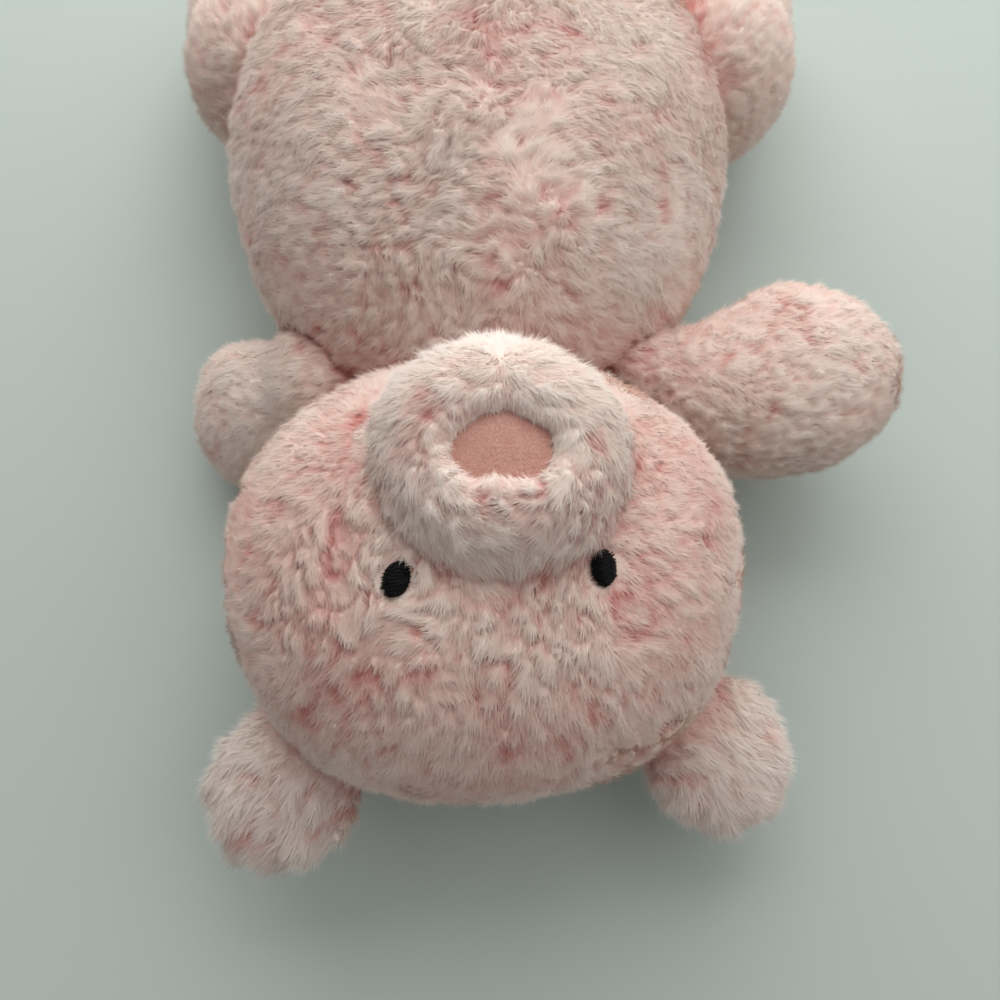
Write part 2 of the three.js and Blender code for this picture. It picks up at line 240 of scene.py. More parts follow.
def noiseVector(at, size, shift, detail=1.0):
    return noiseColour(scaled(at, maths("DIVIDE", 1.0, size)), shift, detail)


def partOf(vector, part="X"):
    return put("ShaderNodeSeparateXYZ", {"Vector": vector}).outputs[part]


def vectorOf(x, y, z=0.0):
    return put("ShaderNodeCombineXYZ", {"X": x, "Y": y, "Z": z}).outputs[0]


def ramp(value, low, high):
    return put("ShaderNodeMapRange", {"Value": value, "From Min": low, "From Max": high},
               interpolation_type="SMOOTHSTEP").outputs[0]


def alongSurface(vector, normal):
    return vectors("SUBTRACT", vector,
                   scaled(normal, vectors("DOT_PRODUCT", vector, normal)))


def overTheTable(spot, least):
    split = put("ShaderNodeSeparateXYZ", {"Vector": spot}).outputs
    return vectorOf(split["X"], split["Y"], maths("MAXIMUM", split["Z"], least))


# Plush: the cloth is raised into matted locks, and fine tapered hairs lie along them

locks = {
    "Lock width": 5.6 * mm,  # across a lock, from one crease to the next
    "Stretch": 1.6,  # how much longer a lock is than wide
    "Curl width": 2.6 * mm,  # the small waves on a lock
    "Curls": 0.2,  # their share of the relief
    "Rise": 3.5 * mm,  # from a crease to the top of a lock
    "Lean": 0.45,  # how far a lock leans over the way it is combed
    "Warp": 2.8 * mm,  # how irregular the locks are
    "Warp size": 9 * mm,
    "Pit size": 9 * mm,  # from one deep pit between locks to the next
    "Patch size": 42 * mm,  # where the plush lies pinker or paler
    "Swirl": 0.9,  # how far the comb wanders
    "Swirl size": 30 * mm,
    "Lumps": 1.6 * mm,  # unevenness of the filling under the cloth
    "Lump size": 34 * mm,
    "Least height": 0.3 * mm,  # nothing goes under the table
    "Finer": 1,  # subdivisions of the cloth
}
creaseSharpness = 4.2
# a pit shows where its noise is this strong and the locks are this low
pits = {"noise": (0.02, 0.2), "height": (0.7, 0.1), "depth": 0.25}
noiseReach = {"swirl": 4.0, "warp": 3.0}  # the noise goes a quarter either way, and these stretch it

# how pale a lock is at its foot, and what adds to that or takes from it; a lower shade is painted a deeper pink,
# partly the plush's own pink foot and partly painted shade in its creases
shading = {"foot": 0.4, "height": 0.58, "patch": 0.9, "pit": 0.42, "flush": 0.55, "groove": 0.2}

hairs = {
    "Hairs per m2": 3_800_000.0,
    "Hair width": 0.19 * mm,
    "Hair length": 3.8 * mm,
    "Upright": 0.42,
    "Untidiness": 0.3,
    "Tint width": 0.006,  # a hair's width on its colour map
    "Odd hairs": 0.012,  # share of hairs of any tint, from the mixed yarn
    "Mixed": 0.09,  # how far a hair's colour strays from its neighbours'
}

# how hairs differ by chance: their length, the turn of their flat side and their tint
chance = {"length": (0.6, 1.1), "turn": 0.15, "tint": 0.12}
tintEnds = (0.02, 0.98)  # no hair's tint runs off its colour map

# where plush lies on its colour map upwards: by the height in its lock, and a hair higher at its tip
mapHeight = {"foot": 0.03, "lock": 0.84, "tip": 0.12, "cloth": 0.06}

# light soaks into plush, so a hair is lit partly as its lock is and mostly as the whole form
lighting = {"hair": 0.2, "lock": 0.4, "form": 1.3}


def template(name, co, faces, **layers):
    mesh = bpy.data.meshes.new(name)
    mesh.from_pydata(co, [], faces)
    for key, values in layers.items():
        storeOn(mesh, key, np.array(values))
    made = link(name, mesh)
    made.hide_render = True
    return made


# Rounded locks with narrow creases between them, longer the way that they are combed:
# one set for each axis, weighted by how far the comb follows it.
def lockedHeight(at, combed, width, stretch, shift):
    total = None
    for i, axis in enumerate("XYZ"):
        wide = maths("DIVIDE", 1.0, width)
        long = maths("DIVIDE", wide, stretch)
        scales = vectorOf(*(long if a == axis else wide for a in "XYZ"))
        wave = partOf(noiseColour(vectors("MULTIPLY", at, scales), shift + i))
        lobe = times(maths("ABSOLUTE", wave), creaseSharpness, clamp=True)
        lobe = times(lobe, minus(2.0, lobe))
        part = times(lobe, maths("POWER", partOf(combed, axis), 2.0))
        total = part if total is None else plus(total, part)
    return total


def plushTree():
    tree, given = openTree("plushLocks", locks, {})
    fine = put("GeometryNodeSubdivideMesh", {"Mesh": given["Geometry"], "Level": given["Finer"]})
    here = putIn(tree, "GeometryNodeInputPosition").outputs[0]
    normal = putIn(tree, "GeometryNodeInputNormal").outputs[0]
    swirl = scaled(noiseVector(here, given["Swirl size"], 1), given["Swirl"])
    comb = joined(named(tree, "comb", "FLOAT_VECTOR"), scaled(swirl, noiseReach["swirl"]))
    combed = vectors("NORMALIZE", alongSurface(comb, normal))
    warp = scaled(noiseVector(here, given["Warp size"], 2, 2.0), given["Warp"])
    warped = joined(here, scaled(warp, noiseReach["warp"]))
    big = lockedHeight(warped, combed, given["Lock width"], given["Stretch"], 3)
    small = lockedHeight(warped, combed, given["Curl width"], given["Stretch"], 11)
    mixed = put("ShaderNodeMix", {"Factor": given["Curls"], "A": big, "B": small}, data_type="FLOAT")
    groove = named(tree, "groove")
    height = times(out(mixed, "Result"), minus(1.0, groove))

    # pits are here and there where locks part, painted a deeper pink, partly the plush's pink foot and partly
    # painted shade, and some patches of the plush lie paler than others
    spots = ramp(partOf(noiseVector(warped, given["Pit size"], 21)), *pits["noise"])
    pit = times(spots, ramp(height, *pits["height"]))
    patch = partOf(noiseVector(here, given["Patch size"], 31, 2.0))
    # a lock is painted paler towards its top and pinker down in its creases: partly its own colour, partly painted
    # shade
    shade = timesPlus(height, shading["height"], shading["foot"])
    shade = plus(shade, times(patch, shading["patch"]))
    shade = minus(shade, times(pit, shading["pit"]))
    # near joins the plush is painted pinker and darker: partly painted shade in the folds between parts
    shade = minus(shade, times(named(tree, "flush"), shading["flush"]))
    # a groove is painted deeper pink as well: painted shade in the crease
    shade = minus(shade, times(groove, shading["groove"]), clamp=True)
    height = minus(height, times(pit, pits["depth"]))

    lumpy = noiseVector(here, given["Lump size"], 41)
    lump = times(vectors("DOT_PRODUCT", lumpy, (1.0, 1.0, 1.0)), given["Lumps"])
    up = times(times(height, given["Rise"]), named(tree, "pileLength"))
    over = scaled(combed, times(up, given["Lean"]))
    outwards = scaled(normal, plus(up, lump))
    spot = joined(here, joined(outwards, over))
    geometry = store(out(fine), "combed", combed, "FLOAT_VECTOR")
    geometry = store(geometry, "shade", shade)
    raised = moveTo(geometry, overTheTable(spot, given["Least height"]))
    put("NodeGroupOutput", {"Geometry": raised})
    return tree


def raiseLocks(skin):
    runTree(skin, plushLocks, locks)
    skin.data.materials.clear()
    skin.data.materials.append(pileFoot)
    print(skin.name, len(skin.data.polygons), "faces")


def hairTree():
    tree, given = openTree("plushHairs", hairs, {
        "Panel": "Int", "Least height": "Float", "Seed": "Int", "Hair": "Object", "Pile": "Material"})
    seed = given["Seed"]
    here = putIn(tree, "GeometryNodeInputPosition").outputs[0]
    onPanel = put("FunctionNodeCompare", {2: named(tree, "panel", "INT"), 3: given["Panel"]},
                  data_type="INT", operation="EQUAL").outputs[0]
    density = times(named(tree, "dense"), given["Hairs per m2"])
    roots = put("GeometryNodeDistributePointsOnFaces",
                {"Mesh": given["Geometry"], "Selection": onPanel, "Density": density,
                 "Seed": plus(seed, 21.0)}, distribute_method="RANDOM")
    surface = roots.outputs["Normal"]
    length = times(named(tree, "pileLength"), given["Hair length"])
    length = times(length, random(*chance["length"], seed, 22))
    every = ((-1.0, -1.0, -1.0), (1.0, 1.0, 1.0))
    jitter = random(*every, seed, 23, "FLOAT_VECTOR")
    lie = vectors("NORMALIZE", alongSurface(named(tree, "combed", "FLOAT_VECTOR"), surface))
    way = joined(scaled(surface, given["Upright"]), lie)
    way = joined(way, scaled(jitter, given["Untidiness"]))
    tip = scaled(vectors("NORMALIZE", way), length)
    spin = random(*every, seed, 25, "FLOAT_VECTOR")
    facing = joined(surface, scaled(spin, chance["turn"]))
    side = vectors("NORMALIZE", vectors("CROSS_PRODUCT", tip, facing))
    tint = plus(named(tree, "pale"), random(-chance["tint"], chance["tint"], seed, 26))
    odd = maths("LESS_THAN", random(0.0, 1.0, seed, 27), given["Odd hairs"])
    other = minus(random(0.0, 1.0, seed, 28), tint)
    tint = within(timesPlus(odd, other, tint), *tintEnds)
    stray = random(-1.0, 1.0, seed, 29)
    shade = within(timesPlus(stray, given["Mixed"], named(tree, "shade")), 0.0, 1.0)

    strands = roots.outputs["Points"]
    for name, value in (("root", here), ("tip", tip), ("side", side), ("grown", surface)):
        strands = store(strands, name, value, "FLOAT_VECTOR")
    strands = store(strands, "tint", tint)
    strands = store(strands, "shade", shade)
    blades = instances(strands, given["Hair"])

    # stretch each hair from its root to its tip
    along, across = named(tree, "along"), named(tree, "across")
    spot = joined(named(tree, "root", "FLOAT_VECTOR"),
                  scaled(named(tree, "tip", "FLOAT_VECTOR"), along))
    half = times(across, times(given["Hair width"], 0.5))
    spot = joined(spot, scaled(named(tree, "side", "FLOAT_VECTOR"), half))
    placed = moveTo(blades, overTheTable(spot, given["Least height"]))

    # its colour map has tints across and heights upwards
    u = plus(named(tree, "tint"), times(across, given["Tint width"]))
    v = timesPlus(along, mapHeight["tip"], mapHeight["foot"])
    v = timesPlus(named(tree, "shade"), mapHeight["lock"], v)
    mapped = store(placed, "OFBake", vectorOf(u, v), "FLOAT2", "CORNER")
    put("NodeGroupOutput", {"Geometry": paint(mapped, given["Pile"])})
    return tree


def instances(spots, template):
    shape = put("GeometryNodeObjectInfo", {"Object": template}).outputs["Geometry"]
    made = put("GeometryNodeInstanceOnPoints", {"Points": spots, "Instance": shape})
    return out(put("GeometryNodeRealizeInstances", {"Geometry": out(made)}))


def growHairs(skin, name, panel, seed):
    made = link(name, skin.data.copy())
    runTree(made, plushHairs, {**hairs, "Panel": panel, "Least height": locks["Least height"],
                               "Seed": seed, "Hair": hair, "Pile": pinkPile})
    mesh = made.data
    side, tip, grown, calm = (read(mesh.attributes[key].data, "vector", kind=np.float32)
                              for key in ("side", "tip", "grown", "calm"))
    outward = unit(np.cross(side, tip))
    lit = unit(lighting["hair"] * outward + lighting["lock"] * grown + lighting["form"] * unit(calm))
    dropAttributes(mesh)
    mesh.shade_smooth()
    mesh.normals_split_custom_set_from_vertices(lit.tolist())
    print(f"{name}: {len(mesh.polygons)} hairs")
    return made


def dropAttributes(mesh):
    for name in spareNames:
        if name in mesh.attributes:
            mesh.attributes.remove(mesh.attributes[name])


spareNames = ("root", "tip", "side", "grown", "tint", "along", "across", "pileLength", "pale", "dense",
              "comb", "panel", "combed", "shade", "groove", "flush", "calm", "rowShare", "rowWidth",
              "rowDrift", "rowSlant", "reach", "turn")


# Skins: the cloth under the pile, one closed form for each body

skins = {
    "voxel": 4.3 * mm,
    "finerVoxel": 3.7 * mm,  # on the head and the limbs
    "smoothing": 3,
    "fullness": {"body": 5.0 * mm, "head": 1.7 * mm, "arm": 2.4 * mm, "leg": 0.1 * mm},  # over the covers
    "crease": 4.5 * mm,  # how far a sewn join draws the plush in
    "flush": 16 * mm,  # how far from a join the plush is painted pinker, with painted shade in the fold
    "seamWidth": 2.2 * mm,  # of the parting along a seam that is on one surface
    "seamHold": 5 * mm,  # how far from a seam it holds the cloth back
    "leastHeight": 0.4 * mm,  # over the table
}
# where plush counts as the underside, pressed flat by the bear's weight, and how long and dense it is there
underside = {"slope": -0.3, "height": 8 * mm, "length": 0.4, "dense": 0.3}

# how deep the plush is drawn in at a join, a seam or a parting, and how much pinker it is painted there, partly
# painted shade in the fold
joins = {
    "limb": (0.7, 0.5),
    "neck": (0.8, 0.6),
    "frontSeam": (0.3, 0.22),
    "ear": (0.9, 0.45),
    "faceSeam": (0.3, 0.3),
    "chest": (0.6, 0.0),
    "root": (0.6, 0.5),
    "besideHead": (0.6, 0.0),
    "sole": (0.5, 0.0),
    "bodyPartings": (0.25, 0.5),
    "earPartings": (0.35, 0.9),
    "facePartings": (0.3, 0.75),
    "limbPartings": (0.25, 0.5),
}

# where the covers are sewn together
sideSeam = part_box("body_front_left")[0].z
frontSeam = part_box("body_front_left")[1].x
neckAt = jointAt["head"]
rootRadius = {"arm": 20 * mm, "leg": 32 * mm}  # of the round root that a limb turns on


def softSkin(name, parts, voxel):
    merged = bmesh.new()
    for part in parts:
        merged.from_mesh(nodes[part].data)
    bmesh.ops.remove_doubles(merged, verts=merged.verts, dist=1e-6)
    mesh = bpy.data.meshes.new(name)
    merged.to_mesh(mesh)
    merged.free()
    made = link(name, mesh)
    remesh = made.modifiers.new("remesh", "REMESH")
    remesh.mode = "VOXEL"
    remesh.voxel_size = voxel
    smooth = made.modifiers.new("smooth", "SMOOTH")
    smooth.factor = 0.5
    smooth.iterations = skins["smoothing"]
    settle(made)
    keepLargest(made.data)
    return made


def keepLargest(mesh):
    shell = bmesh.new()
    shell.from_mesh(mesh)
    left = set(shell.verts)
    islands = []
    while left:
        first = left.pop()
        island, edge = {first}, [first]
        while edge:
            vertex = edge.pop()
            for side in vertex.link_edges:
                other = side.other_vert(vertex)
                if other in left:
                    left.remove(other)
                    island.add(other)
                    edge.append(other)
        islands.append(island)
    biggest = max(islands, key=len)
    bmesh.ops.delete(shell, geom=[v for v in shell.verts if v not in biggest], context="VERTS")
    bmesh.ops.recalc_face_normals(shell, faces=shell.faces)
    shell.to_mesh(mesh)
    shell.free()


def lowAndHigh(*names):
    corners = [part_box(name) for name in names]
    low = np.min([np.array(c[0]) for c in corners], axis=0)
    high = np.max([np.array(c[1]) for c in corners], axis=0)
    return low, high


def middleOf(*names):
    low, high = lowAndHigh(*names)
    return (low + high) / 2


# How far each point is from the nearest of some of the sewn covers.
def farFrom(co, *names):
    near = np.full(len(co), 1.0)
    for name in names:
        mesh = nodes[name].data
        tree = BVHTree.FromPolygons([v.co for v in mesh.vertices], [p.vertices for p in mesh.polygons])
        near = np.minimum(near, [tree.find_nearest(p)[3] for p in co])
    return near


def reachFrom(co, at):
    return np.linalg.norm(co - at, axis=1)


# How far each point is outside the round root that a limb turns on.
def fromRoot(limb, co):
    return reachFrom(co, jointAt[limb]) - ofBody(rootRadius, limb)


# Thin wandering lines where the plush parts and its pink foot shows, painted pinker with painted shade in the
# parting.
def partings(co, size, seed, width=0.045):
    lines = bell(noiseAt(co, size, seed), width)
    return lines * smoothStep(noiseAt(co, 1.4 * size, seed + 1), -0.05, 0.2)


def deepen(lay, join, groove, flush):
    # the second number paints the plush pinker near the join, partly painted shade in the fold
    deep, pink = joins[join]
    lay["groove"] = np.maximum(lay["groove"], deep * groove)
    lay["flush"] = np.maximum(lay["flush"], pink * flush)


def drawIn(lay, join, distance):
    deepen(lay, join, bell(distance, skins["crease"]), bell(distance, skins["flush"]))


def partPlush(lay, join, lines):
    deepen(lay, join, lines, lines)


def giveLay(made, panel, comb, lay, pileLength=1.0, pale=0.5, dense=1.0):
    mesh = made.data
    co, way = points(mesh), normals(mesh)
    under = (way[:, 2] < underside["slope"]) & (co[:, 2] < underside["height"])
    every = np.ones(len(co))
    for name, values in {
        "pileLength": every * pileLength * np.where(under, underside["length"], 1.0),
        "pale": every * pale,
        "groove": np.clip(lay["groove"], 0, 1),
        "flush": np.clip(lay["flush"], 0, 1),
        "dense": np.where(under, underside["dense"], 1.0) * dense,
    }.items():
        storeOn(mesh, name, values)
    storeOn(mesh, "comb", comb, "FLOAT_VECTOR")
    storeOn(mesh, "calm", way, "FLOAT_VECTOR")
    storeOn(mesh, "panel", panel(read(mesh.polygons, "center")).astype(np.int32), "INT", "FACE")
    mesh.shade_smooth()


def keepOverTable(co):
    co[:, 2] = np.maximum(co[:, 2], skins["leastHeight"])
    return co


def pushOut(made, distance):
    setPoints(made.data, keepOverTable(points(made.data) + normals(made.data) * distance))


padding = {
    "room": 1.2 * mm,  # the cloth starts this much smaller
    "cap": 3.0 * mm,  # and no point of it moves further out than this
    "pressure": {"body": 1500.0, "head": 1100.0, "arm": 4000.0, "leg": 8000.0},  # a small one needs more
    "mass": 0.1,
    "quality": 8,
    "evening": 6,  # rounds of averaging with the neighbours
    "steps": 20,
}


# The filling swells the cloth, which is held where it is sewn.
def fillOut(made, held):
    scene = bpy.context.scene
    start = points(made.data)
    sewn = made.vertex_groups.new(name="sewn")
    for index, share in enumerate(held):
        sewn.add([index], float(share), "REPLACE")
    cloth = made.modifiers.new("padding", "CLOTH")
    settings = cloth.settings
    settings.use_pressure = True
    settings.uniform_pressure_force = ofBody(padding["pressure"], made.name)
    settings.mass = padding["mass"]
    settings.quality = padding["quality"]
    settings.effector_weights.gravity = 0
    settings.vertex_group_mass = sewn.name
    cloth.point_cache.frame_end = padding["steps"]
    for step in range(1, padding["steps"] + 1):
        scene.frame_set(step)
    swollen = made.evaluated_get(bpy.context.evaluated_depsgraph_get())
    moved = points(swollen.data) - start
    made.modifiers.clear()
    made.vertex_groups.clear()
    scene.frame_set(1)

    # only the way out counts, evened out between neighbours
    outwards = np.clip((moved * normals(made.data)).sum(axis=1), 0, padding["cap"])
    swell = evenOut(made.data, outwards)
    mean, most = round(float(swell.mean()) / mm, 2), round(float(swell.max()) / mm, 2)
    print(made.name, "swells by", mean, "mm, most", most)
    pushOut(made, swell[:, None])


def evenOut(mesh, values):
    one, other = read(mesh.edges, "vertices", 2, np.int32).T
    count = len(values)
    around = np.bincount(one, minlength=count) + np.bincount(other, minlength=count)
    for _ in range(padding["evening"]):
        total = np.bincount(one, values[other], count) + np.bincount(other, values[one], count)
        values = (values + total / np.maximum(around, 1)) / 2
    return values


def clothFor(name, parts, voxel, heldAt):
    made = softSkin(name, parts, voxel)
    fullness = ofBody(skins["fullness"], name)
    pushOut(made, fullness - padding["room"])
    fillOut(made, np.clip(heldAt(points(made.data)), 0, 1))
    rounder = made.modifiers.new("rounder", "SUBSURF")
    rounder.levels = 1
    settle(made)
    print(name, len(made.data.polygons), "faces")
    return made


# Body: combed outwards from the front seam, and drawn in at the neck and the limbs

bodyComb = {
    "sideways": 25 * mm,  # how far from the seam it lies half over
    "towardsHead": 0.45,
    "down": 0.9,  # over the flanks, which begin and are full at
    "flank": (45 * mm, 85 * mm),
}


def bodyPanel(co):
    return np.where(co[:, 2] > sideSeam, 0, 2) + np.where(co[:, 0] > frontSeam, 1, 0)


def onBodyFront(co):
    return smoothStep(co[:, 2], sideSeam, sideSeam + 15 * mm)


def heldOnBody(co):
    width = skins["seamHold"]
    roots = [bell(fromRoot(limb, co), width) for limb in limbs]
    front = 0.3 * onBodyFront(co) * bell(co[:, 0] - frontSeam, width)
    flanks = 0.2 * bell(co[:, 2] - sideSeam, width)
    return np.maximum.reduce([bell(farFrom(co, *headCovers), width), *roots, front, flanks])


def makeBodySkin():
    made = clothFor("bodyCloth", bodyNodes["body"], skins["voxel"], heldOnBody)
    co = points(made.data)
    aside = co[:, 0] - frontSeam
    downwards = -bodyComb["down"] * smoothStep(np.abs(aside), *bodyComb["flank"])
    towardsHead = np.full(len(co), -bodyComb["towardsHead"])
    comb = np.stack([np.tanh(aside / bodyComb["sideways"]), towardsHead, downwards], axis=1)
    lay = {"groove": np.zeros(len(co)), "flush": np.zeros(len(co))}
    hidden = np.zeros(len(co), bool)
    for limb in limbs:
        reach = fromRoot(limb, co)
        hidden |= reach < -1.5 * mm
        drawIn(lay, "limb", np.maximum(reach, 0))
    drawIn(lay, "neck", farFrom(co, *headCovers))
    onFront = onBodyFront(co)
    fromSeam = aside - 2.5 * mm * noiseAt(co, 22 * mm, seed=3)
    uneven = smoothStep(noiseAt(co, 12 * mm, seed=5), -0.3, 0.3)
    deepen(lay, "frontSeam", onFront * uneven * bell(fromSeam, skins["seamWidth"]),
           onFront * bell(fromSeam, 3 * skins["seamWidth"]))
    partPlush(lay, "bodyPartings", onFront * partings(co, 26 * mm, seed=61))
    giveLay(made, bodyPanel, comb, lay, pileLength=np.where(hidden, 0.05, 1.0),
            dense=np.where(hidden, 0.0, 1.0))
    return made


# Head: combed away from the muzzle, whose own plush is paler and runs out from the nose

face = {
    "length": 0.95,  # of the plush there, as a share of the body's
    "muzzleLength": 1.1,
    "earLength": 1.65,
    "muzzleWidening": 1.12,  # how the muzzle's filling pushes its sides out
    "muzzleFullness": 1.4 * mm,
    "earFullness": 1.4 * mm,
    "noseBed": 4.1 * mm,  # how far the cloth under the nose lies lower
    "pale": 0.25,
    "muzzlePale": 0.86,
    "earPale": 0.9,
    "flush": 0.18,  # the face lies pinker than the body
    "rim": 5 * mm,  # of plush that rolls in round the nose
    "eyeClearing": 2.0 * mm,  # of short plush round an eye
}

headComb = {
    "faceCentre": 45 * mm,  # over the neck's height, where the face's plush runs out from
    "face": 0.8,
    "muzzle": 1.8,
    "rim": 1.1,  # back over the edge of the nose
}


def earParts(side):
    return f"ear_{side}_front", f"ear_{side}_back"


def headPanel(co):
    muzzleLow, muzzleHigh = lowAndHigh("muzzle_cover")
    middle = (muzzleLow + muzzleHigh) / 2
    panel = np.where(co[:, 2] > neckAt[2] + 5 * mm, 0, 2) + np.where(co[:, 0] > middle[0], 1, 0)
    reach = (muzzleHigh - muzzleLow) / 2 + 4 * mm
    onMuzzle = (((co - middle) / reach)[:, :2] ** 2).sum(axis=1) < 1
    panel[onMuzzle & (co[:, 2] > muzzleLow[2])] = 4
    for i, side in enumerate(sides):
        low, high = lowAndHigh(*earParts(side))
        inside = ((co > low - 3 * mm) & (co < high + 3 * mm)).all(axis=1)
        panel[inside] = 5 + i
    return panel


def heldOnHead(co):
    width = skins["seamHold"]
    faceNear = farFrom(co, *headCovers)
    held = bell(np.maximum(faceNear, farFrom(co, "muzzle_cover")), width)
    for side in sides:
        held = np.maximum(held, bell(np.maximum(faceNear, farFrom(co, *earParts(side))), width))
        held = np.maximum(held, bell(reachFrom(co, middleOf(f"eye_{side}")), 2 * width))
    fromNose = np.linalg.norm((co - noseCentre())[:, :2], axis=1) - 12 * mm
    onMuzzle = co[:, 2] > lowAndHigh("muzzle_cover")[0][2]
    return np.maximum(held, onMuzzle * bell(np.maximum(fromNose, 0), width))


def blend(values, other, share):
    return values + (other - values) * share


def makeHeadSkin():
    parts = [name for name in bodyNodes["head"] if not name.startswith("eye")]
    made = clothFor("headCloth", parts, skins["finerVoxel"], heldOnHead)
    co = points(made.data)
    faceNear = farFrom(co, *headCovers)
    muzzleNear = farFrom(co, "muzzle_cover", "nose_patch")
    onMuzzle = smoothStep(faceNear - muzzleNear, -1 * mm, 3 * mm)
    muzzleAt = middleOf("muzzle_cover")
    fromMuzzle = co - muzzleAt
    crownSide = smoothStep(-fromMuzzle[:, 1] / np.maximum(np.abs(fromMuzzle[:, 0]), mm), -0.2, 0.9)
    join = bell(np.maximum(faceNear, muzzleNear), skins["crease"])
    # the join is drawn in deeper and painted pinker on the crown side: painted shade on the muzzle's side away
    # from the window lamp
    lay = {"groove": (0.1 + 0.35 * crownSide) * join,
           "flush": (0.05 + 0.25 * crownSide) * join + face["flush"] * (1 - onMuzzle)}
    pale = blend(face["pale"], face["muzzlePale"], onMuzzle)
    length = blend(face["length"], face["muzzleLength"], onMuzzle)
    edge = noseReach(co)
    swell = face["muzzleFullness"] * smoothStep(edge, 1 * mm, 9 * mm)
    swell -= face["noseBed"] * smoothStep(edge, 1.5 * mm, -1.5 * mm)
    grown = normals(made.data) * (swell * onMuzzle)[:, None]
    grown[:, 0] += fromMuzzle[:, 0] * (face["muzzleWidening"] - 1) * onMuzzle

    # away from the muzzle over the face, and round the nose over the muzzle
    faceAt = np.array([muzzleAt[0], muzzleAt[1], neckAt[2] + headComb["faceCentre"]])
    comb = headComb["face"] * unit(co - faceAt)
    away = unit(co - noseCentre())
    turn = np.sign(away[:, 0]) * smoothStep(np.abs(away[:, 0]), 0, 0.35)
    roundNose = np.stack([away[:, 1], -away[:, 0], np.zeros(len(co))], axis=1) * turn[:, None]
    outShare = 0.25 + 0.75 * smoothStep(edge, 6 * mm, 22 * mm)
    muzzleComb = headComb["muzzle"] * (away * outShare[:, None] + roundNose)
    comb = comb * (1 - onMuzzle)[:, None] + muzzleComb * onMuzzle[:, None]

    # the plush rolls in over the edge of the nose, and leaves the nose bare
    rim = smoothStep(edge, face["rim"], 1 * mm) * onMuzzle
    comb = comb * (1 - 0.5 * rim)[:, None] - headComb["rim"] * away * rim[:, None]
    bare = smoothStep(edge, -0.6 * mm, -1.8 * mm) * onMuzzle
    length = length * (1 - 0.3 * rim) * (1 - 0.98 * bare)

    for side in sides:
        earNear = farFrom(co, *earParts(side))
        onEar = smoothStep(faceNear - earNear, -1 * mm, 4 * mm)
        earJoin = np.maximum(faceNear, earNear)
        lay["flush"] = lay["flush"] * (1 - onEar)
        deepen(lay, "ear", bell(earJoin, skins["crease"]), bell(earJoin, skins["flush"]) * onEar)
        partPlush(lay, "earPartings", onEar * partings(co, 11 * mm, seed=14, width=0.09))
        grown += normals(made.data) * (face["earFullness"] * onEar)[:, None]
        pale = blend(pale, face["earPale"], onEar)
        length = blend(length, face["earLength"], onEar)
        towardsTip = middleOf(*earParts(side)) - middleOf("head_filling")
        comb = comb * (1 - onEar)[:, None] + unit(towardsTip) * onEar[:, None]
        eyeAt = middleOf(f"eye_{side}")
        fromEye = np.linalg.norm((co - eyeAt) / np.array([0.9, 1.0, 1.0]), axis=1) - stitches["Half length"]
        clearing = smoothStep(fromEye, face["eyeClearing"], 0.5 * mm)
        length = length * (1 - 0.6 * clearing)
        comb = comb * (1 - clearing)[:, None] + unit(co - eyeAt) * clearing[:, None]

    # a short seam down the middle of the face
    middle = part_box("face_left")[1].x
    onFace = smoothStep(co[:, 2], neckAt[2] + 30 * mm, neckAt[2] + 45 * mm) * (1 - onMuzzle)
    seam = bell(co[:, 0] - middle - 2 * mm * noiseAt(co, 15 * mm, seed=8), skins["seamWidth"])
    uneven = onFace * smoothStep(noiseAt(co, 12 * mm, seed=9), -0.2, 0.2)
    deepen(lay, "faceSeam", seam * uneven, onFace * bell(co[:, 0] - middle, 3 * skins["seamWidth"]))
    lines = (1 - onMuzzle) * partings(co, 17 * mm, seed=63)
    lines = lines + 0.45 * onMuzzle * partings(co, 12 * mm, seed=65, width=0.07)
    partPlush(lay, "facePartings", lines)
    drawIn(lay, "chest", farFrom(co, *coversOf("body", "body_front")))
    setPoints(made.data, co + grown)
    giveLay(made, headPanel, comb, lay, pileLength=length, pale=pale, dense=1 - bare)
    return made


def coversOf(body, *starts):
    return [name for name in bodyNodes[body] if name.startswith(starts)]


# How far a point lies outside the nose, seen along the muzzle.
def noseReach(co):
    flat = co[:, :2] - noseCentre()[:2]
    angle = np.arctan2(flat[:, 1], flat[:, 0])
    return np.linalg.norm(flat, axis=1) - np.linalg.norm(noseOutline(angle), axis=1)


def noseCentre():
    return middleOf("nose_patch") + np.array([nose["aside"], nose["towardsCrown"], 0])


# Arms and legs: combed from the root to the far end

# how far from the root the cloth of a limb would narrow, and how far its filling rounds it out there
fullWaist = {"arm": (22 * mm, 2.6 * mm), "leg": (37 * mm, 5.0 * mm)}
waistWidth = 11 * mm
fullPaw = {"arm_right": np.array([3.0, 3.4, 1.0]) * mm}  # its filling gathers at the paw


def limbPanel(limb):
    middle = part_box(limb + "_upper")[0].z * 0.5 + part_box(limb + "_lower")[1].z * 0.5
    return lambda co: np.where(co[:, 2] > middle, 0, 1)


# How far from the round sole that is sewn in at a leg's far end.
def fromSole(limb, co):
    return farFrom(co, "sole_" + limb.split("_")[1]) - 1.5 * mm


def heldOnLimb(limb, co):
    held = bell(fromRoot(limb, co), skins["seamHold"])
    if limb.startswith("leg"):
        held = np.maximum(held, 0.6 * bell(fromSole(limb, co), skins["seamHold"]))
    return held


